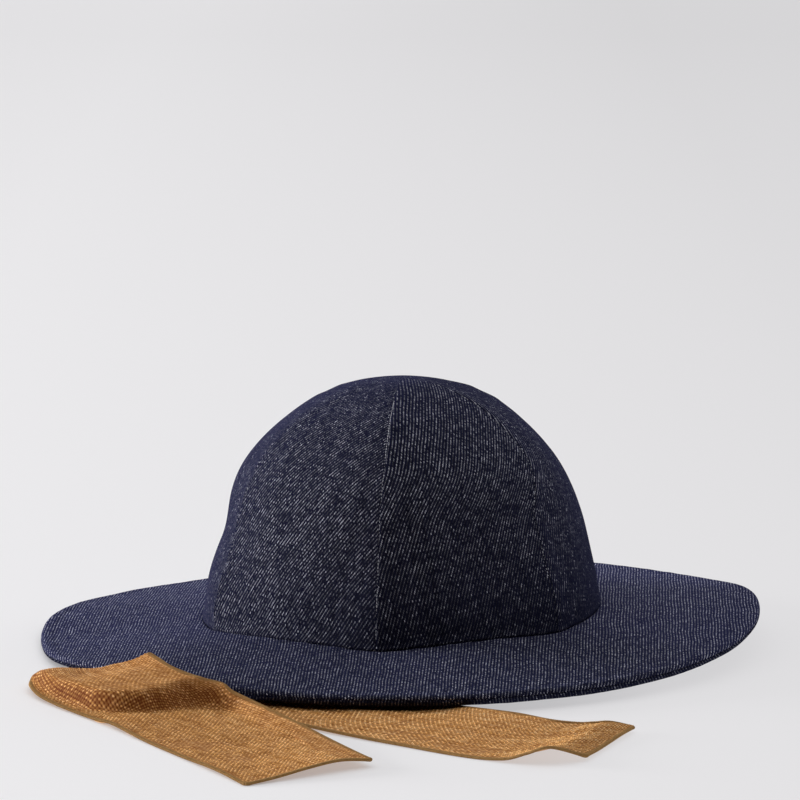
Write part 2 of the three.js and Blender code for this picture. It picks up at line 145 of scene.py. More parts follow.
floor_finish, tree, shader = material("pale_floor", Roughness=0.95, Specular_IOR_Level=0.1,
                                      Emission_Color=(*FLOOR_TINT, 1))
m, v = maths(tree), vector_maths(tree)
across, far = x_and_y(tree, put(tree, "ShaderNodeTexCoord", out=3))
# Painted shade darkens the floor's colour to the right and back, and painted light makes it glow.
total = put(tree, "ShaderNodeMapRange", across, *FLOOR_SPAN, *FLOOR_BRIGHTNESS)
total = m("MULTIPLY", total, put(tree, "ShaderNodeMapRange", far, *FLOOR_DEPTH, 1, FLOOR_FAR_SHARE))
glow = put(tree, "ShaderNodeMapRange", across, *GLOW_SPAN, *FLOOR_GLOW)
lit = m("MULTIPLY", m("SUBTRACT", total, glow), 1 / FLOOR_LIGHT)
tree.links.new(v("SCALE", FLOOR_TINT, None, None, lit), shader.inputs["Base Color"])
tree.links.new(glow, shader.inputs["Emission Strength"])
corners = [(x * FLOOR_REACH, y * FLOOR_REACH, 0) for x, y in ((-1, -1), (1, -1), (1, 1), (-1, 1))]
floor = mesh_object("floor", corners, [(0, 1, 2, 3)], [floor_finish])

# ---- Crown ----
# Six denim gores, each one cut of cloth, meet at the top and go down inside the brim. The two
# allowances of a seam are pressed to one side, where the cloth stands up over them.
GORE_COUNT = 6
GORE_THICKNESS = 1.1
GORE_ROWS, FOOT_ROWS, FOOT_RUN = 120, 30, 9
GORE_HALF_COLUMNS = 36
GORE_FLATNESS = 0.2
SEAM_SINK, SEAM_ROLL = 0.12, 2
LAP_STEP, LAP_ROLL = 0.65, 0.6
SEAM_ROOM = 0.02
ALLOWANCE, ALLOWANCE_RISE, ALLOWANCE_DEPTH = 8.5, 0.3, 0.8
FOOT_ROLL, FOOT_TUCK = 0.4, 0.8
SEAM_PUCKER, FOOT_PUCKER, SOFT_WAVE = 0.16, 0.14, 0.45
TURN_IN = 3
CROWN_STRAIGHT = 50
GRAIN_TURN = 7
NEXT_CLOTH = 400
SEAM_YARN_START, SEAM_YARN_END = 3.2, 1.1
SEAM_YARN_INSET, SEAM_YARN_RISE = 0.4, 0.05
SEAM_YARN_FAT, FRONT_YARN_FAT, YARN_FAT_CHANGE = 0.25, 0.8, 0.6
# Painted light and shade: how much more weft shows at the left front and on the right of the top, where
# painted light lightens the crown, and less low in front, where painted shade darkens it.
PAINTED_LIGHT_LEFT, PAINTED_LIGHT_TOP, PAINTED_SHADE_FOOT = 0.58, 0.4, 0.38
# The blue of a painted sheen added to the denim's colour, and how much of it shows toward the rim.
PAINTED_SHEEN_BLUE = 0.10, 0.105, 0.36
RIM_PAINTED_SHEEN = 0.11
SHEEN_TINT = (0.16, 0.20, 0.75, 1)

# The crown's outline through the middle of a gore: radius and height.
CROWN_OUTLINE = np.array([
    (0.3, 125.4), (9, 125.3), (19, 124), (31, 120.5), (41.5, 115.6), (49.5, 111), (61.5, 101.2),
    (70.2, 91.5), (76.2, 82.4), (80.2, 73), (83.4, 62), (86.2, 51), (88.8, 42), (92, 32),
    (93.6, 23), (94, 12),
])
# The azimuth of each seam round the top and round the foot, from the front toward +X.
SEAMS = [(-7, -7.3), (54.5, 47.5), (114, 111), (174, 174), (234, 234), (294.5, 295.5)]
SEAM_SWAY = (94, 68)
# Soft places: azimuth, height, half width in degrees, half height, push outward.
DENTS = [
    (92, 56, 34, 18, 1.7), (60, 108, 60, 20, 0.6), (-90, 57, 26, 11, -1.4), (44, 68, 12, 16, -1.4),
]
# Round the hat: azimuth, height of the crown's join, height, reach and lower roll of the edge.
HAT_LINES = np.array([
    (-180, 14.2, 4.2, 170, 2.2), (-150, 13.2, 2.1, 170, 1.9), (-126, 11.8, 2.5, 170.5, 1.9),
    (-100, 12.2, 4.9, 171, 2), (-82, 12.2, 2.25, 171, 2), (-66, 12.9, 4.3, 173, 2),
    (-45, 15.3, 6.8, 170.5, 2.3), (-25, 15.5, 6.8, 170, 2.7), (-6, 13.9, 6.4, 170, 2.8),
    (14, 16.5, 6.6, 170, 2.9), (30, 17.4, 7, 170, 2.9), (46, 16.6, 9, 170, 2.9),
    (60, 17.5, 11.8, 170, 2.8), (75, 18.3, 15, 169.5, 2.7), (90, 18.1, 16.8, 169.5, 2.4),
    (104, 17.3, 16.4, 171.5, 2.2), (118, 16.6, 12.6, 171.5, 2.2), (136, 17, 10.7, 170.5, 2.2),
    (156, 15.8, 8.6, 170, 2.2),
])


def smooth(share):
    share = np.clip(share, 0, 1)
    return share * share * (3 - 2 * share)


def fade(value, start, end):
    """From 0 to 1 as a value passes from start to end."""
    return smooth((value - start) / (end - start))


def through(a, b, c, d, share):
    """A smooth value between four evenly taken neighbours, passing through the middle two."""
    bend = 0.5 * (2 * a - 5 * b + 4 * c - d) * share + 0.5 * (3 * b - a - 3 * c + d) * share**2
    return b + share * (0.5 * (c - a) + bend)


def rows_between(table, position):
    """An open table's columns, read smoothly at positions that count its rows."""
    table = np.vstack([2 * table[0] - table[1], table, 2 * table[-1] - table[-2]])
    row = np.minimum(position.astype(int), len(table) - 4)
    a, b, c, d = (table[row + step] for step in range(4))
    return np.moveaxis(through(a, b, c, d, (position - row)[..., None]), -1, 0)


def round_hat(azimuth):
    """The columns of HAT_LINES at any azimuth: join, edge, reach and roll."""
    turned = (azimuth + 180) % 360 - 180
    knots = HAT_LINES[:, 0]
    row = np.searchsorted(knots, turned, side="right") - 1

    def entry(step):
        lap, index = np.divmod(row + step, len(knots))
        return knots[index] + 360 * lap, np.moveaxis(HAT_LINES[index, 1:], -1, 0)

    (a0, v0), (a1, v1), (a2, v2), (a3, v3) = (entry(step) for step in (-1, 0, 1, 2))
    span = a2 - a1
    share = (turned - a1) / span
    slope1, slope2 = (v2 - v0) / (a2 - a0) * span, (v3 - v1) / (a3 - a1) * span
    rest = 1 - share
    return ((1 + 2 * share) * rest**2 * v1 + share**2 * (3 - 2 * share) * v2
            + share * rest * (rest * slope1 - share * slope2))


def unevenness(places, size, seed, count=14):
    """Soft random rise and fall, about -1 to 1, with features of about the given size."""
    draw = np.random.default_rng(seed)
    total = 0
    for _ in range(count):
        direction = draw.normal(size=3)
        direction *= 2 * math.pi / (size * draw.uniform(0.75, 1.6) * np.linalg.norm(direction))
        total = total + np.sin(sum(p * d for p, d in zip(places, direction)) + draw.uniform(0, 7))
    return total / math.sqrt(count)


def on_azimuth(radius, azimuth, height):
    turn = np.radians(azimuth)
    return np.stack([radius * np.sin(turn), -radius * np.cos(turn), height + 0 * turn], -1)


def noise_place(radius, azimuth, height=0):
    """Where unevenness is read round the hat, as three separate coordinates."""
    turn = np.radians(azimuth)
    return radius * np.sin(turn), radius * np.cos(turn), height + 0 * radius


def seam_azimuth(number, height):
    top, foot = SEAMS[number % GORE_COUNT]
    above, below = SEAM_SWAY
    drop = smooth((above - height) / (above - below))
    return top + (foot - top) * drop + 360 * (number // GORE_COUNT)


def pushed_out(azimuth, height):
    push = 0
    for middle, level, half_width, half_height, amount in DENTS:
        turn = ((azimuth - middle + 540) % 360 - 180) / half_width
        push = push + amount * np.exp(-(turn**2 + ((height - level) / half_height) ** 2))
    return push


def crown_place(number, position, share, depth, detail):
    """Radius, azimuth and height of a gore's cloth. Share runs from -1 to 1 between its seams."""
    half_gore = 180 / GORE_COUNT
    swell = 1 + GORE_FLATNESS * (1 / np.cos(np.radians(half_gore * share)) - 1)
    last, step = len(CROWN_OUTLINE) - 1, 0.02

    def outline(where):
        radius, height = rows_between(CROWN_OUTLINE, where)
        return radius * swell, height

    r0, z0 = outline(np.maximum(position - step, 0))
    r1, z1 = outline(np.minimum(position + step, last))
    length = np.hypot(r1 - r0, z1 - z0)
    out, up = -(z1 - z0) / length, (r1 - r0) / length
    radius, height = outline(position)
    seams = seam_azimuth(number - 1, height), seam_azimuth(number, height)
    middle, spread = (seams[0] + seams[1]) / 2, (seams[1] - seams[0]) / 2
    azimuth = middle + share * spread
    away = radius * np.radians(half_gore * (1 - np.abs(share)))
    sink = SEAM_SINK * np.exp(-((away / SEAM_ROLL) ** 2))
    inward = depth + sink - pushed_out(azimuth, height)
    low = np.clip((CROWN_STRAIGHT - height) / (CROWN_STRAIGHT - CROWN_OUTLINE[-1, 1]), 0, 1)
    join = round_hat(azimuth)[0]
    settle = (join - TURN_IN - height) * low**3
    if detail:
        room = smooth((radius - 12) / 30)
        place = noise_place(radius, azimuth, height)
        lap = (share < 0) * (LAP_STEP * np.exp(-((away / LAP_ROLL) ** 2))
                             - ALLOWANCE_RISE * smooth((ALLOWANCE - away) / 4))
        pucker = unevenness(place, 9, 11) * SEAM_PUCKER * np.exp(-away / 7)
        above = height + settle - join
        soft = smooth((above - 1) / 9) * (pucker + unevenness(place, 46, 13) * SOFT_WAVE)
        soft = soft + unevenness(place, 8, 12) * FOOT_PUCKER * np.exp(-((above / 14) ** 2))
        foot = FOOT_TUCK * smooth((0.2 - above) / 0.8) - FOOT_ROLL * np.exp(-(((above - 1) / 0.9) ** 2))
        inward = inward + room * (lap + soft) - (1 - room) * sink + foot
    radius, height = radius - inward * out, height - inward * up
    return radius, azimuth, height + settle


def grid_faces(rows, columns, start=0, flip=False):
    """Quads of a grid of points numbered row by row."""
    row, column = np.meshgrid(np.arange(rows - 1), np.arange(columns - 1), indexing="ij")
    corner = (start + row * columns + column).ravel()
    quads = np.stack([corner, corner + columns, corner + columns + 1, corner + 1], -1)
    return quads[:, ::-1] if flip else quads


def strip(first, second, flip=False):
    """Quads between two runs of points."""
    if flip:
        return np.stack([first[:-1], first[1:], second[1:], second[:-1]], -1)
    return np.stack([first[:-1], second[:-1], second[1:], first[1:]], -1)


def put_cloth_map(made, flat):
    """Gives every corner of the mesh its place on the flat cloth, in metres."""
    layer = made.data.uv_layers.new(name="cloth")
    vertex = np.zeros(len(made.data.loops), dtype=int)
    made.data.loops.foreach_get("vertex_index", vertex)
    layer.data.foreach_set("uv", (np.asarray(flat)[vertex] * MM).ravel())


def turned_grain(across, along, degrees):
    """Turns the cloth's grain clockwise by an angle."""
    turn = math.radians(degrees)
    cosine, sine = math.cos(turn), math.sin(turn)
    return across * cosine - along * sine, across * sine + along * cosine


# Denim: a right-hand 3/1 twill. Indigo warps float over three wefts, and each pale weft shows
# between them as a small dash; the dashes climb to the right in diagonal wales.
WARP_PITCH, WEFT_PITCH = 0.40, 0.76


def group_tree(name, inputs, outputs, tree_type="ShaderNodeTree"):
    """A node group with named inputs and outputs, and its two end nodes."""
    made = bpy.data.node_groups.new(name, tree_type)
    for label, kind, value in inputs:
        socket = made.interface.new_socket(name=label, in_out="INPUT", socket_type="NodeSocket" + kind)
        if value is not None:
            socket.default_value = value
    for label, kind in outputs:
        made.interface.new_socket(name=label, in_out="OUTPUT", socket_type="NodeSocket" + kind)
    return made, made.nodes.new("NodeGroupInput").outputs, made.nodes.new("NodeGroupOutput").inputs


def blended(tree, share, first, second):
    """A colour between two colours."""
    first, second = ((*colour, 1) if isinstance(colour, tuple) else colour for colour in (first, second))
    return node_with(tree, "ShaderNodeMix", {0: share, 6: first, 7: second}, data_type="RGBA").outputs[2]


def clouds(tree, place, scale, detail):
    """Soft random values from 0 to 1 on the flat cloth."""
    return put(tree, "ShaderNodeTexNoise", place, None, scale, detail, noise_dimensions="2D")


def held(m, value):
    """Keeps a value between 0 and 1."""
    return m("MINIMUM", m("MAXIMUM", value, 0), 1)


def flat_millimetres(tree, cloth, sway, jitter):
    """The place on the cloth in millimetres, with the yarns wandering a little."""
    v = vector_maths(tree)
    place = v("MULTIPLY", cloth, (1000, 1000, 0))
    for scale, amount in ((0.045, sway), (0.8, jitter)):
        cloud = put(tree, "ShaderNodeTexNoise", place, None, scale, 2, out=1, noise_dimensions="2D")
        shift = v("MULTIPLY", v("SUBTRACT", cloud, (0.5, 0.5, 0.5)), (amount, amount, 0))
        place = v("ADD", place, shift)
    return place


twill, given, results = group_tree("denim_twill", [
    ("Cloth", "Vector", None), ("Warp Pitch", "Float", WARP_PITCH), ("Weft Pitch", "Float", WEFT_PITCH),
    ("Indigo", "Color", (0, 0, 0.1, 1)), ("Weft", "Color", (1, 1, 1, 1)),
    ("Weft Shows", "Float", 0.5), ("Flecks", "Float", 0.05),
], [("Colour", "Color"), ("Height", "Float")])
m, v = maths(twill), vector_maths(twill)
place = flat_millimetres(twill, given["Cloth"], 1.2, 0.16)
x, y = x_and_y(twill, place)
warp_at, weft_at = m("DIVIDE", x, given["Warp Pitch"]), m("DIVIDE", y, given["Weft Pitch"])
warp, weft = m("FLOOR", warp_at), m("FLOOR", weft_at)
side = m("MULTIPLY_ADD", m("FRACT", warp_at), 2, -1)
rounding = m("SUBTRACT", 1, m("MULTIPLY", side, side))
phase = m("FLOORED_MODULO", m("SUBTRACT", weft_at, warp), 4)
float_at = m("DIVIDE", m("SUBTRACT", phase, 2.5), 1.5)
float_rise = m("MAXIMUM", m("SUBTRACT", 1, m("MULTIPLY", float_at, float_at)), 0)
dash_at = m("DIVIDE", m("SUBTRACT", phase, 0.5), 0.7)
dash_rise = m("MAXIMUM", m("SUBTRACT", 1, m("MULTIPLY", dash_at, dash_at)), 0)
dash = m("MINIMUM", m("MULTIPLY", m("MULTIPLY", dash_rise, m("MULTIPLY_ADD", rounding, 0.8, 0.2)), 1.8), 1)
cell = put(twill, "ShaderNodeCombineXYZ", warp, weft, 0)
luck = put(twill, "ShaderNodeTexWhiteNoise", cell, noise_dimensions="2D")
slub_place = put(twill, "ShaderNodeCombineXYZ", m("MULTIPLY", x, 0.11), m("MULTIPLY", weft, 0.83), 0)
slub = clouds(twill, slub_place, 1, 2)
patch = clouds(twill, place, 0.16, 3)
wale = m("FLOOR", m("DIVIDE", m("SUBTRACT", weft, warp), 4))
wale_place = put(twill, "ShaderNodeCombineXYZ", m("MULTIPLY", wale, 0.83), m("MULTIPLY", warp, 0.24), 0)
wale_run = clouds(twill, wale_place, 1, 2)
shows = m("MULTIPLY", m("MULTIPLY", luck, 1.05), m("MULTIPLY_ADD", slub, 2.0, -0.3))
shows = m("MULTIPLY", shows, m("MULTIPLY_ADD", wale_run, 2.4, -0.3))
shows = m("MULTIPLY", m("MAXIMUM", shows, 0), m("MULTIPLY_ADD", patch, 1.8, 0.1))
fleck = m("GREATER_THAN", luck, m("SUBTRACT", 1, given["Flecks"]))
shows = m("ADD", m("MULTIPLY", shows, given["Weft Shows"]), m("MULTIPLY", fleck, 0.55))
mask = held(m, m("MULTIPLY", dash, shows))
yarn = put(twill, "ShaderNodeTexWhiteNoise", None, warp, noise_dimensions="1D")
streak_place = put(twill, "ShaderNodeCombineXYZ", m("MULTIPLY", warp, 0.71), m("MULTIPLY", y, 0.09), 0)
streak = clouds(twill, streak_place, 1, 2)
depth = m("ADD", m("MULTIPLY_ADD", yarn, 0.5, 0.5), m("MULTIPLY_ADD", streak, 1.0, -0.25))
depth = m("MULTIPLY", depth, m("MULTIPLY_ADD", float_rise, 0.45, 0.7))
shade = v("SCALE", given["Indigo"], None, None, depth)
twill.links.new(blended(twill, mask, shade, given["Weft"]), results["Colour"])
rounded = m("MULTIPLY", rounding, m("MULTIPLY_ADD", float_rise, 0.7, 0.25))
twill.links.new(m("MAXIMUM", rounded, m("MULTIPLY", dash, 0.5)), results["Height"])


def named_value(tree, name):
    """A value that the mesh carries under a name."""
    return put(tree, "ShaderNodeAttribute", out=2, attribute_name=name)


def put_named_value(made, name, values):
    """Gives every point of the mesh a value under a name."""
    made.data.attributes.new(name, "FLOAT", "POINT").data.foreach_set("value", values)


def give_low_relief(tree, shader, height, distance, strength=1.0):
    bump = node_with(tree, "ShaderNodeBump",
                     {"Strength": strength, "Distance": distance * MM, "Height": height})
    tree.links.new(bump.outputs["Normal"], shader.inputs["Normal"])


def denim(name, indigo, weft, shows, flecks, sheen, relief, graze=0):
    """A denim finish that follows the piece's cloth map. More weft shows where the piece's named value of
    painted light and shade is high, and less where it is low or toward the rim where graze is set. Toward
    the rim, by graze, and where the named value of painted sheen is set, a painted blue sheen is added to
    the colour."""
    made, tree, shader = material(
        name, Roughness=0.9, Specular_IOR_Level=0.02,
        Sheen_Weight=sheen, Sheen_Roughness=0.4, Sheen_Tint=SHEEN_TINT,
    )
    m = maths(tree)
    facing = put(tree, "ShaderNodeLayerWeight", 0.5, out=1)
    rim = m("MULTIPLY", m("MULTIPLY", facing, facing), graze)
    shown = m("MULTIPLY_ADD", named_value(tree, "painted_light_and_shade"), shows, shows)
    weave = node_with(tree, "ShaderNodeGroup", {
        "Cloth": put(tree, "ShaderNodeUVMap", uv_map="cloth"), "Indigo": (*indigo, 1),
        "Weft": (*weft, 1), "Weft Shows": m("MULTIPLY", shown, m("SUBTRACT", 1, rim)), "Flecks": flecks,
    }, node_tree=twill)
    # Painted sheen: blue added toward the rim and where the piece's named value of painted sheen is set.
    painted_sheen = m("MULTIPLY_ADD", rim, RIM_PAINTED_SHEEN, named_value(tree, "painted_sheen"))
    colour = vector_maths(tree)("MULTIPLY_ADD", painted_sheen, PAINTED_SHEEN_BLUE, weave.outputs["Colour"])
    tree.links.new(colour, shader.inputs["Base Color"])
    give_low_relief(tree, shader, weave.outputs["Height"], relief)
    return made


crown_face = denim("denim_crown", (0.0072, 0.0077, 0.0210), (0.60, 0.61, 0.72), 0.78, 0.03, 0.07, 0.3, 0.8)
crown_back = denim("denim_back", (0.10, 0.11, 0.17), (0.42, 0.43, 0.48), 1.0, 0.25, 0.05, 0.25)

# Rows are even along the cloth, closer at its foot, and columns are closer beside the seams.
position = np.linspace(0, 1, 4001) * (len(CROWN_OUTLINE) - 1)
outline_radius, outline_height = rows_between(CROWN_OUTLINE, position)
run = np.concatenate([[0], np.cumsum(np.hypot(np.diff(outline_radius), np.diff(outline_height)))])
row_run = np.concatenate([
    np.linspace(0, run[-1] - FOOT_RUN, GORE_ROWS)[1:], run[-1] + np.linspace(-FOOT_RUN, 0, FOOT_ROWS)[1:],
])
row_position = np.interp(row_run, run, position)
column = np.linspace(-1, 1, 2 * GORE_HALF_COLUMNS + 1)
column_share = np.sign(column) * (1 - (1 - np.abs(column)) ** 1.6)

for number in range(1, GORE_COUNT + 1):
    row, share = np.meshgrid(row_position, column_share, indexing="ij")
    plain_radius, plain_height = rows_between(CROWN_OUTLINE, row)
    seams = seam_azimuth(number - 1, plain_height), seam_azimuth(number, plain_height)
    away = plain_radius * np.radians(180 / GORE_COUNT * (1 - np.abs(share)))
    pressed = ALLOWANCE_DEPTH * smooth((ALLOWANCE + 0.8 - away) / 1.6)
    walls = []
    for depth, detail in ((0, True), (GORE_THICKNESS + pressed, False)):
        radius, azimuth, height = crown_place(number, row, share, depth, detail)
        azimuth = azimuth - share * np.degrees(SEAM_ROOM / radius)
        walls.append(on_azimuth(radius, azimuth, height).reshape(-1, 3))
    tip = np.array([[0.0, 0.0, CROWN_OUTLINE[0, 1]]])
    rows, columns = row.shape
    count = rows * columns
    across = plain_radius * np.radians(share * (seams[1] - seams[0]) / 2)
    along = run[-1] - np.repeat(row_run[:, None], columns, axis=1)
    grain = GRAIN_TURN if number % 2 == 0 else -GRAIN_TURN
    flat = np.stack(turned_grain(across + NEXT_CLOTH * number, along, grain), -1).reshape(-1, 2)
    tip_flat = np.array([turned_grain(NEXT_CLOTH * number, run[-1], grain)])
    points = np.vstack([walls[0], walls[1], tip, tip - (0, 0, GORE_THICKNESS)]) * MM
    outer = grid_faces(rows, columns)
    inner = grid_faces(rows, columns, count, flip=True)
    index = np.arange(count).reshape(rows, columns)
    foot = strip(index[-1], index[-1] + count)
    left_side = strip(index[:, 0], index[:, 0] + count)
    right_side = strip(index[:, -1], index[:, -1] + count, flip=True)
    top = index[0, :-1]
    outer_tip = np.stack([top * 0 + 2 * count, top, top + 1], -1)
    inner_tip = np.stack([top * 0 + 2 * count + 1, top + 1 + count, top + count], -1)
    tip_sides = [
        (2 * count, 2 * count + 1, count, 0),
        (columns - 1, columns - 1 + count, 2 * count + 1, 2 * count),
    ]
    parts = [outer, inner, foot, left_side, right_side, outer_tip, inner_tip, tip_sides]
    on_back = [0, 1, 0, 0, 0, 0, 1, 0]
    faces = [tuple(face) for part in parts for face in np.asarray(part).tolist()]
    finish = [side for part, side in zip(parts, on_back) for _ in range(len(part))]
    panel = mesh_object(f"crown_gore_{number}", points, faces, [crown_face, crown_back], finish)
    put_cloth_map(panel, np.vstack([flat, flat, tip_flat, tip_flat]))
    azimuth, height = np.degrees(np.arctan2(points[:, 0], -points[:, 1])), points[:, 2] / MM
    # Painted light and shade: the crown is lightened at the left front and on the right of the top, and
    # darkened low in front.
    left_front = fade(azimuth, 12, -38) * fade(azimuth, -80, -40) * (1 - 0.9 * fade(height, 65, 105))
    right_top = fade(azimuth, -6, 0) * fade(azimuth, 80, 60) * fade(height, 65, 95)
    low_front = fade(azimuth, -65, -25) * fade(height, 62, 37)
    painted_light_and_shade = PAINTED_LIGHT_LEFT * left_front + PAINTED_LIGHT_TOP * right_top - PAINTED_SHADE_FOOT * low_front
    put_named_value(panel, "painted_light_and_shade", painted_light_and_shade)
    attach(panel, "root")
    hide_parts(f"crown_panel_{number}")


def thread_tree(name, round_path):
    """Thread along a path: wraps round it, or short stitches that lie along it."""
    made, given, results = group_tree(name, [
        ("Path", "Geometry", None), ("Pitch", "Float", 0.55 * MM), ("Half Width", "Float", MM),
        ("Half Thickness", "Float", MM), ("Thread", "Float", 0.2 * MM), ("Slant", "Float", 0.2),
        ("Jitter", "Float", 0.1), ("Seed", "Int", 1), ("Finish", "Material", None),
    ], [("Geometry", "Geometry")], "GeometryNodeTree")
    m = maths(made)
    path = put(made, "GeometryNodeMeshToCurve", given["Path"])
    spots = node_with(made, "GeometryNodeCurveToPoints", {"Curve": path, "Length": given["Pitch"]},
                      mode="LENGTH")
    up = put(made, "GeometryNodeInputNamedAttribute", "up", data_type="FLOAT_VECTOR")
    facing = put(made, "FunctionNodeAxesToRotation", spots.outputs["Tangent"], up,
                 primary_axis="Z", secondary_axis="Y")
    span = {2: m("MULTIPLY", given["Jitter"], -1), 3: given["Jitter"], "Seed": given["Seed"]}
    shake = node_with(made, "FunctionNodeRandomValue", span, data_type="FLOAT")
    lean = m("ADD", given["Slant"], shake.outputs[1])
    turn = put(made, "FunctionNodeEulerToRotation", put(made, "ShaderNodeCombineXYZ", 0, lean, 0))
    turn = put(made, "FunctionNodeRotateRotation", facing, turn, rotation_space="LOCAL")
    if round_path:
        size = put(made, "ShaderNodeCombineXYZ", given["Half Width"], given["Half Thickness"], MM)
        ring = node_with(made, "GeometryNodeCurvePrimitiveCircle", {"Resolution": 12, "Radius": 1.0})
        sized = node_with(made, "GeometryNodeTransform", {0: ring.outputs[0], "Scale": size})
        section = node_with(made, "GeometryNodeCurvePrimitiveCircle",
                            {"Resolution": 5, "Radius": given["Thread"]})
        body = put(made, "GeometryNodeCurveToMesh", sized.outputs[0], section.outputs[0])
    else:
        size = put(made, "ShaderNodeCombineXYZ", given["Thread"], given["Thread"], given["Half Width"])
        ball = node_with(made, "GeometryNodeMeshUVSphere", {"Segments": 7, "Rings": 6})
        body = node_with(made, "GeometryNodeTransform", {0: ball.outputs[0], "Scale": size}).outputs[0]
    fat = put(made, "GeometryNodeInputNamedAttribute", "fat", data_type="FLOAT")
    placed = node_with(made, "GeometryNodeInstanceOnPoints", {
        "Points": spots.outputs["Points"], "Instance": body, "Rotation": turn, "Scale": fat,
    })
    real = put(made, "GeometryNodeRealizeInstances", placed.outputs[0])
    smoothed = put(made, "GeometryNodeSetShadeSmooth", real)
    finished = node_with(made, "GeometryNodeSetMaterial", {0: smoothed, "Material": given["Finish"]})
    made.links.new(finished.outputs[0], results["Geometry"])
    return made


def sewn_thread(name, tree, paths, values):
    """Runs thread along paths of (points, up, fat), in millimetres, and gives back a plain mesh
    object. The values are those of the tree's named inputs."""
    points, edges, ups, fats, start = [], [], [], [], 0
    for line, up, fat in paths:
        points.append(line)
        ups.append(up)
        fats.append(fat)
        edges += [(start + k, start + k + 1) for k in range(len(line) - 1)]
        start += len(line)
    mesh = bpy.data.meshes.new(name + "_path")
    mesh.from_pydata((np.vstack(points) * MM).tolist(), edges, [])
    mesh.attributes.new("up", "FLOAT_VECTOR", "POINT").data.foreach_set("vector", np.vstack(ups).ravel())
    carrier = scene_object(name + "_path", mesh)
    put_named_value(carrier, "fat", np.concatenate(fats))
    modifier = carrier.modifiers.new("thread", "NODES")
    modifier.node_group = tree
    for item in tree.interface.items_tree:
        if item.in_out == "INPUT" and item.name in values:
            modifier[item.identifier] = values[item.name]
    whole = bpy.data.meshes.new_from_object(carrier.evaluated_get(bpy.context.evaluated_depsgraph_get()))
    whole.name = name
    bpy.data.objects.remove(carrier)
    return scene_object(name, whole)


seam_yarn = material("seam_yarn", Base_Color=(0.60, 0.61, 0.68, 1), Roughness=0.8,
                     Specular_IOR_Level=0.1)[0]
seam_paths = []
for number in range(1, GORE_COUNT + 1):
    where = np.linspace(SEAM_YARN_START, len(CROWN_OUTLINE) - 1 - SEAM_YARN_END, 220)
    share = -1 + SEAM_YARN_INSET / (math.pi / GORE_COUNT * rows_between(CROWN_OUTLINE, where)[0])
    radius, azimuth, height = crown_place(number, where, share, -SEAM_YARN_RISE, True)
    line = on_azimuth(radius, azimuth, height)
    outward = on_azimuth(np.ones_like(azimuth), azimuth, np.full_like(azimuth, 0.4))
    usual = FRONT_YARN_FAT if number == 1 else SEAM_YARN_FAT
    fat = np.clip(usual + YARN_FAT_CHANGE * unevenness(line.T, 9, 50 + number), 0.1, 1.2)
    seam_paths.append((line, outward, fat))
yarns = sewn_thread("crown_seam_yarns", thread_tree("seam_yarns", False), seam_paths, {
    "Pitch": 1.6 * MM, "Half Width": 0.55 * MM, "Half Thickness": 0.1 * MM, "Thread": 0.15 * MM,
    "Slant": 0.0, "Jitter": 0.12, "Seed": 5, "Finish": seam_yarn,
})
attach(yarns, "root")

# ---- Brim ----
# Two plies of denim, right sides out, sewn together round the edge and turned, so that each
# ply rolls over at its edge and the thick turned-in allowance stands up as a ridge inside it.
PLY_THICKNESS = 1.6
PLY_GAP = 0.3
HOLE_ROOM = -0.7
BRIM_SLICES = 720
TOP_ROLL = 1.85
EDGE_ROUND, HOLE_ROUND = 2.2, 1.6
UNDER_RINGS, OPEN_RINGS = 11, 27
EDGE_PUCKER, JOIN_PUCKER, BRIM_WAVE = 0.10, 0.16, 0.22
LEAST_HEIGHT = 0.06
BRIM_GRAIN = -25
# Painted sheen and painted light on the brim top's left and right sides.
BRIM_PAINTED_SHEEN, BRIM_PAINTED_LIGHT = 0.085, 0.2


def crown_foot_radius(azimuth):
    """The radius of the crown's lower edge, which goes down inside the brim."""
    first = SEAMS[0][1]
    from_first = (azimuth - first) % 360 + first
    radius = np.zeros_like(azimuth)
    for number in range(1, GORE_COUNT + 1):
        start, end = seam_azimuth(number - 1, 0), seam_azimuth(number, 0)
        inside = (from_first >= start) & (from_first <= end)
        share = np.clip(2 * (from_first - start) / (end - start) - 1, -1, 1)
        foot = np.full_like(azimuth, len(CROWN_OUTLINE) - 1.0)
        radius = np.where(inside, crown_place(number, foot, share, 0, False)[0], radius)
    return radius


def ply_heights(inset, roll):
    """How far a ply's face stands above the middle of the brim, from its edge inward."""
    edge = roll * np.sqrt(np.clip(1 - ((EDGE_ROUND - inset) / EDGE_ROUND) ** 2, 0, 1))
    ridge = roll * (1 - 0.03 * smooth((inset - EDGE_ROUND) / 2.4))
    valley = 0.28 * roll + 0.6 * PLY_THICKNESS
    inner = ridge + (valley - ridge) * smooth((inset - 4.4) / 2.6)
    inner = inner + (PLY_THICKNESS - valley) * smooth((inset - 7) / 6)
    return np.where(inset < EDGE_ROUND, edge, inner)


edge_insets = EDGE_ROUND * (1 - np.cos(np.radians(np.linspace(0, 90, 11))))
near_insets = np.array([2.8, 3.4, 4.0, 4.6, 5.1, 5.6, 6.1, 6.6, 7.2, 8, 9, 10, 11.2, 12.6])
open_share = np.linspace(0, 1, OPEN_RINGS + 2)[1:-1]
under_share = np.linspace(0, 1, UNDER_RINGS + 1)[:-1]
brim_azimuth = SEAMS[0][1] + np.arange(BRIM_SLICES) * 360 / BRIM_SLICES
brim_face = denim("denim_brim", (0.0084, 0.0089, 0.0240), (0.58, 0.59, 0.71), 0.90, 0.03, 0.11, 0.3)
# The under ply is a darker copy of the brim's denim: painted shade.
shaded_under_face = denim("denim_brim_under_painted_shade", (0.0060, 0.0070, 0.0220), (0.40, 0.41, 0.50), 0.60, 0.03, 0.04, 0.25)

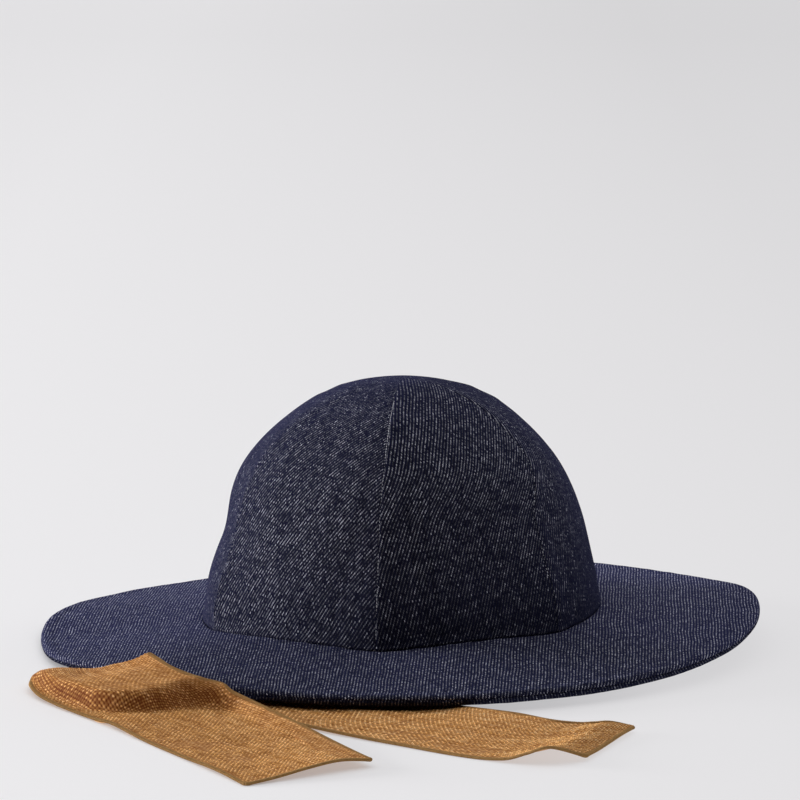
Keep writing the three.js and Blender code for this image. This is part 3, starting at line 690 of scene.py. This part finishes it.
for name, upward, roll in (("brim_top", 1, TOP_ROLL), ("brim_under", -1, None)):
    azimuth = brim_azimuth[:, None]
    join, edge, reach, low_roll = (line[:, None] for line in round_hat(brim_azimuth))
    roll = low_roll if roll is None else roll
    inside = crown_foot_radius(brim_azimuth)[:, None] + HOLE_ROOM
    width = reach - inside
    insets = np.hstack([
        np.repeat(edge_insets[None], BRIM_SLICES, 0), np.repeat(near_insets[None], BRIM_SLICES, 0),
        near_insets[-1] + (width - HOLE_ROUND - near_insets[-1]) * open_share,
        width - HOLE_ROUND * np.cos(np.radians(np.linspace(0, 90, 6))),
    ])
    radius = reach - insets
    rise = ply_heights(insets, roll)
    from_hole = width - insets
    into_hole = np.clip((HOLE_ROUND - from_hole) / HOLE_ROUND, 0, 1)
    rise = rise * np.sqrt(1 - 0.85 * into_hole**2)
    place = noise_place(radius, azimuth)
    pucker = unevenness(place, 6.5, 21 + upward) * EDGE_PUCKER * np.exp(-(((insets - 4) / 3.2) ** 2))
    join_pucker = unevenness(place, 9, 24 + upward) * JOIN_PUCKER * np.exp(-((from_hole / 9) ** 2))
    rise = rise + (pucker + join_pucker) * smooth(insets / EDGE_ROUND)
    rise = rise - (upward > 0) * 0.2 * np.exp(-((from_hole / 1.3) ** 2))
    step = np.hypot(np.diff(radius, axis=1), np.diff(rise, axis=1))
    flat_radius = inside + np.hstack([step[:, ::-1].cumsum(1)[:, ::-1], 0 * inside])
    under_radius = inside + width * under_share
    radius = np.hstack([radius, under_radius])
    rise = np.hstack([rise, 0 * under_radius])
    flat_radius = np.hstack([flat_radius, under_radius])
    lying = join - PLY_THICKNESS - PLY_GAP / 2
    middle = lying + (edge - lying) * (radius - inside) / width
    wave = unevenness(noise_place(radius, azimuth), 60, 27) * BRIM_WAVE * smooth((radius - inside) / 20)
    height = np.maximum(middle + wave + upward * (PLY_GAP / 2 + rise), LEAST_HEIGHT)
    points = on_azimuth(radius, azimuth, height).reshape(-1, 3) * MM
    index = np.arange(radius.size).reshape(radius.shape)
    following = np.roll(index, -1, axis=0)
    corners = [index, following, np.roll(following, -1, 1), np.roll(index, -1, 1)]
    quads = np.stack(corners if upward > 0 else corners[::-1], -1).reshape(-1, 4)
    ply = mesh_object(name + "_ply", points, quads, [brim_face if upward > 0 else shaded_under_face])
    turn = np.radians(azimuth)
    grain = turned_grain(flat_radius * np.sin(turn) * upward, -flat_radius * np.cos(turn), BRIM_GRAIN)
    put_cloth_map(ply, np.stack(grain, -1).reshape(-1, 2))
    # The brim top's left and right sides get painted light and a painted blue sheen.
    side = (azimuth + 180) % 360 - 180
    sides = (fade(-side, 35, 75) + fade(side, 35, 70)) * (upward > 0) + 0 * radius
    put_named_value(ply, "painted_sheen", BRIM_PAINTED_SHEEN * sides.ravel())
    put_named_value(ply, "painted_light_and_shade", BRIM_PAINTED_LIGHT * sides.ravel())
    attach(ply, "root")
    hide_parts(name)

# ---- Ties ----
# Two ribbon ties of coarse plain-woven tan cloth, sewn inside the brim's join at their hidden
# ends and lying loose on the table. Each has a narrow olive hem along both sides and its end.
TIE_TOP, TIE_BACK = 0.3, 0.45
# The least heights over the floor of the cloth's middle, its face and its back.
TIE_FLOOR, FACE_FLOOR, BACK_FLOOR = 0.6, 0.9, 0.05
TIE_WIDTH = 66
TIE_WAVE, HEM_PUCKER = 0.28, 0.12
HEM_HALF_WIDTH, HEM_HALF_THICKNESS, HEM_CORNER, HEM_LIFT = 0.95, 0.72, 1.4, 0.05
# How far inside the hem's outline its core and the path of its wrapped thread lie, and that
# thread's radius and pitch.
CORE_INSET, WRAP_INSET, HEM_THREAD, HEM_PITCH = 0.2, 0.22, 0.24, 0.55
YARN_ACROSS, YARN_ALONG, YARN_RISE = 1.13, 1.38, 0.62
# The last of these lightens the warp crossings and darkens the weft crossings: painted light and shade for
# how the light catches yarns running the two ways.
WEFT_CROWN, YARN_SADDLE, YARN_TONES, WARP_PAINTED_LIGHT = 0.7, 0.3, (0.7, 1.3), 0.35
# The weave is stretched flatter on the raised fold, and painted shade darkens it where it steps down from
# the fold.
# The back has no relief of its own, and is given narrower gaps and a paler tone.
STRETCHED, STEP_SHADE, STEP_DARKER, BACK_PALER = 0.6, 0.13, 0.25, 0.5

# Each row: one hem's x, y, z, the other hem's x, y, z, and how far the cloth stands above the
# straight line between them at each quarter of its width. Where a tie is raised into a fold it
# stands higher still, by a rise at each hem and a dome between them: the last three columns.
LEFT_TIE = np.array([
    (-105, -10, 6.6, -78, -71, 8, 0, 0, 0, 0, 0, 0), (-125, -32, 3.6, -86, -87, 5.8, 0, 0, 0, 0, 0, 0),
    (-143, -54, 1.4, -97, -109, 3.6, 0, 0, 0, 0, 0, 0),
    (-156, -76, 0.8, -109, -126, 2.4, 0, 0, 0, 0, 0, 0),
    (-162, -90, 1.4, -113.2, -130.5, 4.6, 1, 1, 0.4, 0, 0, 1.5),
    (-165, -99, 2.2, -114, -131, 5, 0.4, 0.4, 0.2, 0, 8, 0.6),
    (-168, -109, 3, -113.2, -131.5, 4, 1.6, -1.2, -0.9, 3, 15.8, -1.4),
    (-168, -121, 3, -108.5, -138, 4, 1.4, -0.8, -0.6, 5, 15.2, -2.6),
    (-163, -137, 2, -102, -148, 4, 0, 0, 0, 6.6, 13.2, -1),
    (-155, -152, 1.4, -93.5, -157, 3.6, 0, 0, 0, 7.5, 12, 0),
    (-149.5, -161, 1.2, -88.5, -161, 3.4, 0, 0, 0, 8, 11.6, 0.3),
    (-143, -171, 1, -82.5, -162.5, 3, 0, 0, 0, 8, 10.8, 0.5),
    (-138.5, -178, 1, -78.5, -164, 2.8, 0, 0, 0, 8, 10.2, 0),
    (-134, -185, 1.1, -75, -168, 2.6, 0.3, 0.2, 0, 8, 9.6, 0),
    (-127, -196, 1.8, -67, -178, 3.4, -0.2, -0.5, -0.6, 8, 7, 0),
    (-111, -226, 0.8, -50, -205, 3.5, -0.7, -1, -0.6, 4, 3.5, 0),
    (-94.5, -256, 0.8, -34, -233, 3.8, -1.4, -1.6, -0.9, 0, 1, 0),
    (-79, -284, 1.4, -22, -255, 3.6, -0.8, -0.4, 0.2, 0, 0, 0),
    (-65, -311, 0.6, -12, -274, 3, 0.7, 2.1, 2.6, 0, 0, 0),
])
# The line in plan along which the left tie steps down from its raised fold to the floor, and half
# the width of that step. The raised cloth is on the left of the line as it runs.
FOLD_LINE = np.array([
    (-176, -88, 3.5), (-168.5, -104, 3), (-159.5, -130, 3), (-148.5, -149.5, 3), (-137, -164.5, 3.2),
    (-127, -170.5, 3.2), (-118.5, -172.3, 3.4), (-110.5, -172.2, 4), (-103, -169.8, 4.8),
    (-96, -166.2, 5.6), (-88.5, -165.8, 5.2), (-81, -167.8, 4.8), (-74, -173.5, 5), (-67, -184, 6),
    (-58, -202, 8), (-48, -226, 9),
])
# The right tie has no fold, so its last three columns are all 0.
RIGHT_TIE = np.pad(np.array([
    (-62, -86, 8, 1, -106, 8.6, 0, 0, 0), (-70, -106, 4.6, -4, -119, 6.4, 0, 0, 0),
    (-72, -130, 1.6, -2, -129, 4.6, 0, 0, 0), (-67, -156, 0.8, 3, -139, 3.4, -0.4, -0.3, -0.1),
    (-56, -179, 1, 12, -149, 2.8, -0.7, -0.8, -0.5), (-42, -199, 1.4, 23, -160, 2.4, -0.8, -1, -0.8),
    (-19, -220, 1, 36, -171, 3, -0.9, -1.2, -0.8), (4, -239, 0.8, 51, -185, 4, -0.9, -1.2, -0.8),
    (25, -256, 0.6, 65, -200, 4.4, -1, -1.4, -1), (42, -266, 1.5, 77, -204, 4, -0.8, -1, -0.8),
    (52, -270, 4.8, 84, -205, 4.4, -1.1, -1.4, -0.9), (62, -272, 8, 91, -205, 4.6, -1.7, -1.9, -1.1),
    (78, -263, 2, 101.5, -203, 1.8, -0.3, 0, 0.3),
]), ((0, 0), (0, 3)))
# Each tie's yarn tone is lightened by a given share; on the right tie most of it is painted light, which
# makes up for the less light that reaches it. Cloth is where the ribbon starts along its cloth map, in mm.
TIES = [
    {"name": "tie_left", "rows": LEFT_TIE, "folded": True, "seed": 31, "tone_and_painted_light": 1.02, "cloth": 0},
    {"name": "tie_right", "rows": RIGHT_TIE, "folded": False, "seed": 41, "tone_and_painted_light": 1.14, "cloth": 500},
]


def across_lift(lifts, across):
    """The cloth's rise part of the way across, from its rises at each quarter of the width."""
    lifts = [2 * lifts[0] - lifts[1], *lifts, 2 * lifts[-1] - lifts[-2]]
    quarter = np.minimum((across * 4).astype(int), 3)
    total = 0
    for first in range(4):
        share = across * 4 - first
        total = total + (quarter == first) * through(*lifts[first:first + 4], share)
    return total


def raised_share(x, y):
    """How far places in plan lie on the raised side of the fold: 0 on the floor, 1 on the fold."""
    line = np.stack(rows_between(FOLD_LINE, np.linspace(0, len(FOLD_LINE) - 1, 91)), -1)
    nearest, share = np.full(x.shape, np.inf), np.zeros(x.shape)
    for start, end in zip(line[:-1], line[1:]):
        run = end - start
        gap_x, gap_y = x - start[0], y - start[1]
        passed = np.clip((gap_x * run[0] + gap_y * run[1]) / (run[0] ** 2 + run[1] ** 2), 0, 1)
        gap_x, gap_y = gap_x - passed * run[0], gap_y - passed * run[1]
        away = np.hypot(gap_x, gap_y)
        side = np.sign(run[0] * gap_y - run[1] * gap_x)
        here = 0.5 + side * away / (2 * (start[2] + passed * run[2]))
        nearest, share = np.minimum(nearest, away), np.where(away < nearest, here, share)
    return smooth(share)


def tie_middle(table, along, across):
    """The middle of the cloth, part of the way along the tie and part of the way across it."""
    x1, y1, z1, x2, y2, z2, *lifts, rise1, rise2, dome = rows_between(table, along * (len(table) - 1))
    rest = 1 - across
    lift = across_lift([0 * z1, *lifts, 0 * z1], across)
    x, y = x1 * rest + x2 * across, y1 * rest + y2 * across
    rise = raised_share(x, y) * (rise1 * rest + rise2 * across + 4 * dome * across * rest)
    return np.stack([x, y, np.maximum(z1 * rest + z2 * across + lift + rise, TIE_FLOOR)], -1)


def tie_normal(table, along, across):
    step = 0.006
    lengthwise = (tie_middle(table, np.minimum(along + step, 1), across)
                  - tie_middle(table, np.maximum(along - step, 0), across))
    crosswise = (tie_middle(table, along, np.minimum(across + step, 1))
                 - tie_middle(table, along, np.maximum(across - step, 0)))
    normal = np.cross(lengthwise, crosswise)
    return normal / np.linalg.norm(normal, axis=-1, keepdims=True)


# Coarse plain weave of slubby tan yarns. The yarns' relief is in the mesh, and its named values
# "relief" and "tone" darken the gaps between the crossings and tell one yarn from the next. They also carry
# painted shade where the left tie's fold steps down, and painted light and shade on the crossings and the
# right tie.
plain_weave, given, results = group_tree("ribbon_weave", [
    ("Cloth", "Vector", None), ("Relief", "Float", 1.0), ("Tone", "Float", 1.0),
    ("Yarn", "Color", (0.5, 0.3, 0.12, 1)), ("Straw", "Color", (0.8, 0.6, 0.3, 1)),
    ("Gap", "Color", (0.1, 0.05, 0.02, 1)), ("Gap Depth", "Float", 1.1),
], [("Colour", "Color"), ("Height", "Float")])
m, v = maths(plain_weave), vector_maths(plain_weave)
place = flat_millimetres(plain_weave, given["Cloth"], 0.4, 0.1)
patch = clouds(plain_weave, place, 0.22, 3)
fibre = clouds(plain_weave, place, 3.2, 3)
tone = m("MULTIPLY", given["Tone"], m("MULTIPLY_ADD", patch, 0.8, 0.6))
tone = m("MULTIPLY", tone, m("MULTIPLY_ADD", fibre, 0.7, 0.65))
yarn = v("SCALE", given["Yarn"], None, None, tone)
straw = held(m, m("MULTIPLY_ADD", tone, 0.6, -0.45))
yarn = blended(plain_weave, straw, yarn, given["Straw"])
solid = held(m, m("DIVIDE", given["Relief"], given["Gap Depth"]))
plain_weave.links.new(blended(plain_weave, solid, given["Gap"], yarn), results["Colour"])
plain_weave.links.new(fibre, results["Height"])

tie_cloth, tree, shader = material("tan_ribbon", Roughness=0.7, Specular_IOR_Level=0.05)
weave = node_with(tree, "ShaderNodeGroup", {
    "Cloth": put(tree, "ShaderNodeUVMap", uv_map="cloth"), "Relief": named_value(tree, "relief"),
    "Tone": named_value(tree, "tone"), "Yarn": (0.89, 0.43, 0.118, 1),
    "Straw": (0.95, 0.72, 0.40, 1), "Gap": (0.12, 0.020, 0.003, 1),
}, node_tree=plain_weave)
tree.links.new(weave.outputs["Colour"], shader.inputs["Base Color"])
give_low_relief(tree, shader, weave.outputs["Height"], 0.15, 0.5)

hem_thread, tree, shader = material("olive_thread", Roughness=0.7, Specular_IOR_Level=0.25)
place = put(tree, "ShaderNodeTexCoord", out=3)
cloud = put(tree, "ShaderNodeTexNoise", place, None, 900, 2)
tree.links.new(blended(tree, cloud, (0.23, 0.115, 0.034), (0.48, 0.28, 0.095)), shader.inputs["Base Color"])


def hem_path(length):
    """The hem's centre line down one side, round the end and back up the other side."""
    inset_across, inset_along = HEM_HALF_WIDTH / TIE_WIDTH, HEM_HALF_WIDTH / length
    last, near, far = 1 - inset_along, inset_across, 1 - inset_across
    turn = np.radians(np.linspace(0, 90, 6))
    curve_along, curve_across = HEM_CORNER / length, HEM_CORNER / TIE_WIDTH
    side = np.linspace(0, last - curve_along, 320)
    end = np.linspace(near + curve_across, far - curve_across, 70)
    along = np.concatenate([
        side, last - curve_along * (1 - np.sin(turn[1:])), np.full(len(end) - 1, last),
        last - curve_along * (1 - np.cos(turn[1:])), side[::-1][1:],
    ])
    across = np.concatenate([
        np.full(len(side), near), near + curve_across * (1 - np.cos(turn[1:])), end[1:],
        far - curve_across * (1 - np.sin(turn[1:])), np.full(len(side) - 1, far),
    ])
    return along, across


def tube(line, up, fat, half_width, half_thickness, around=8):
    """An elliptical tube along a line, with its ends closed."""
    tangent = np.gradient(line, axis=0)
    tangent /= np.linalg.norm(tangent, axis=1, keepdims=True)
    side = np.cross(tangent, up)
    side /= np.linalg.norm(side, axis=1, keepdims=True)
    rise = np.cross(side, tangent)
    turn = np.radians(np.arange(around) * 360 / around)[None, :, None]
    swell = fat[:, None, None]
    ring = (line[:, None] + swell * half_width * np.cos(turn) * side[:, None]
            + swell * half_thickness * np.sin(turn) * rise[:, None])
    count = len(line)
    index = np.arange(count * around).reshape(count, around)
    beside = np.roll(index, -1, axis=1)
    quads = strip(index, beside, flip=True).reshape(-1, 4)
    faces = quads.tolist() + [index[0].tolist(), index[-1][::-1].tolist()]
    return ring.reshape(-1, 3), faces


def woven(rows, columns, seed):
    """Height and tone of plain weave on a grid with a yarn on each odd row and each odd column."""
    draw = np.random.default_rng(seed)
    row, column = np.meshgrid(np.arange(rows), np.arange(columns), indexing="ij")
    spot = row * YARN_ALONG / 2, column * YARN_ACROSS / 2, 0 * row
    thick_weft = np.clip(1 + 0.3 * unevenness((spot[0] * 7, spot[1], spot[2]), 12, seed + 5), 0.4, 1.7)
    thick_warp = np.clip(1 + 0.3 * unevenness((spot[0], spot[1] * 7, spot[2]), 12, seed + 6), 0.4, 1.7)
    crossing, hole = (row % 2 == 1) & (column % 2 == 1), (row % 2 == 0) & (column % 2 == 0)
    warp_over = (row // 2 + column // 2) % 2 == 0
    crown = np.where(warp_over, thick_warp, WEFT_CROWN * thick_weft)
    relief = np.where(crossing, crown, YARN_SADDLE * (thick_warp + thick_weft) / 2) * ~hole
    relief = np.minimum(relief * draw.uniform(0.75, 1.25, relief.shape), 1.25)
    yarn_tone = draw.uniform(*YARN_TONES, (2, max(rows, columns)))
    tone = np.where(warp_over, yarn_tone[0][column // 2], yarn_tone[1][row // 2])
    tone = tone * draw.uniform(0.6, 1.4, relief.shape)
    # Painted light and shade: warp crossings paler, weft crossings darker.
    checker = np.where(crossing, np.where(warp_over, 1, -1), 0)
    return relief, tone * (1 + WARP_PAINTED_LIGHT * checker)


wraps = thread_tree("hem_wraps", True)
for tie in TIES:
    name, table, seed = tie["name"], tie["rows"], tie["seed"]
    ride = np.linspace(0, 1, 1201)
    centre = tie_middle(table, ride, np.full_like(ride, 0.5))
    length_run = np.concatenate([[0], np.cumsum(np.linalg.norm(np.diff(centre, axis=0), axis=1))])
    length = length_run[-1]
    inset_across, inset_along = HEM_HALF_WIDTH / TIE_WIDTH, HEM_HALF_WIDTH / length
    row_count = 2 * round(length / YARN_ALONG) + 1
    column_count = 2 * round(TIE_WIDTH / YARN_ACROSS) + 1
    rows = np.interp(np.linspace(0, 1 - inset_along, row_count) * length, length_run, ride)
    columns = np.linspace(inset_across, 1 - inset_across, column_count)
    along, across = np.meshgrid(rows, columns, indexing="ij")
    middle = tie_middle(table, along, across)
    normal = tie_normal(table, along, across)
    step_across = np.linalg.norm(np.diff(middle, axis=1), axis=2)
    step_along = np.linalg.norm(np.diff(middle, axis=0), axis=2)
    flat_across = np.hstack([0 * along[:, :1], step_across.cumsum(1)])
    flat_along = np.vstack([0 * along[:1], step_along.cumsum(0)])
    to_hem = np.minimum(across, 1 - across) * TIE_WIDTH
    spot = flat_across, flat_along, 0 * flat_along
    crumple = (unevenness(spot, 22, seed) * TIE_WAVE
               + unevenness(spot, 6, seed + 1) * HEM_PUCKER * np.exp(-to_hem / 7))
    relief, tone = woven(row_count, column_count, seed)
    hemmed = smooth(to_hem / 3.5)
    raised = raised_share(middle[..., 0], middle[..., 1]) * tie["folded"]
    rise = hemmed * YARN_RISE * (1 - STRETCHED * raised) * (relief - 0.4)
    top = middle + normal * (TIE_TOP + crumple + rise)[..., None]
    # Where the fold steps down to the floor: the place of the painted shade below.
    step = 4 * raised * (1 - raised) * fade(along, 0.78, 0.66)
    top[..., 2] = np.maximum(top[..., 2], FACE_FLOOR)
    back = (middle + normal * (crumple - TIE_BACK)[..., None])[::2, ::2]
    back[..., 2] = np.maximum(back[..., 2], BACK_FLOOR)
    count = row_count * column_count
    index = np.arange(count).reshape(row_count, column_count)
    under = count + np.arange(back[..., 0].size).reshape(back.shape[:2])
    border, under_border = (
        np.concatenate([grid[:, 0], grid[-1, 1:], grid[::-1, -1][1:], grid[0, ::-1][1:]])
        for grid in (index, under)
    )
    rim = np.stack([border[:-1:2], under_border[:-1], under_border[1:], border[2::2], border[1::2]], -1)
    faces = (grid_faces(row_count, column_count).tolist()
             + grid_faces(*under.shape, count, flip=True).tolist() + rim.tolist())
    cloth = mesh_object(name + "_cloth", np.vstack([top.reshape(-1, 3), back.reshape(-1, 3)]) * MM,
                        faces, [tie_cloth])
    flat = np.stack([flat_across, flat_along + tie["cloth"]], -1)
    put_cloth_map(cloth, np.vstack([flat.reshape(-1, 2), flat[::2, ::2].reshape(-1, 2)]))
    # Painted shade: where the left tie's fold steps down, its gaps and yarn tone are darkened.
    relief = 0.05 + relief * hemmed + 0.5 * (1 - hemmed) - STEP_SHADE * step
    tone = tone * tie["tone_and_painted_light"] * (1 - STEP_DARKER * step)
    for label, values in (("relief", relief), ("tone", tone)):
        back_values = values[::2, ::2].ravel() + BACK_PALER
        put_named_value(cloth, label, np.concatenate([values.ravel(), back_values]))

    path_along, path_across = hem_path(length)
    path_along = np.interp(path_along * length, length_run, ride)
    line = tie_middle(table, path_along, path_across)
    up = tie_normal(table, path_along, path_across)
    line = line + up * HEM_LIFT
    corners = tie_middle(table, np.array([1.0, 1.0]), np.array([0.0, 1.0]))
    corner_away = np.minimum(*(np.linalg.norm(line - corner, axis=1) for corner in corners))
    fat = 1 + 0.35 * np.exp(-((corner_away / 2.6) ** 2))
    line[:, 2] = np.maximum(line[:, 2], (HEM_HALF_THICKNESS + HEM_LIFT) * fat)
    core_points, core_faces = tube(
        line, up, fat, HEM_HALF_WIDTH - CORE_INSET, HEM_HALF_THICKNESS - CORE_INSET,
    )
    core = mesh_object(name + "_hem", core_points * MM, core_faces, [hem_thread])
    wrapped = sewn_thread(name + "_hem_thread", wraps, [(line, up, fat)], {
        "Pitch": HEM_PITCH * MM, "Half Width": (HEM_HALF_WIDTH - WRAP_INSET) * MM,
        "Half Thickness": (HEM_HALF_THICKNESS - WRAP_INSET) * MM, "Thread": HEM_THREAD * MM,
        "Slant": 0.22, "Jitter": 0.09, "Seed": seed, "Finish": hem_thread,
    })
    for piece in (cloth, core, wrapped):
        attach(piece, "root")
    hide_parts(name)
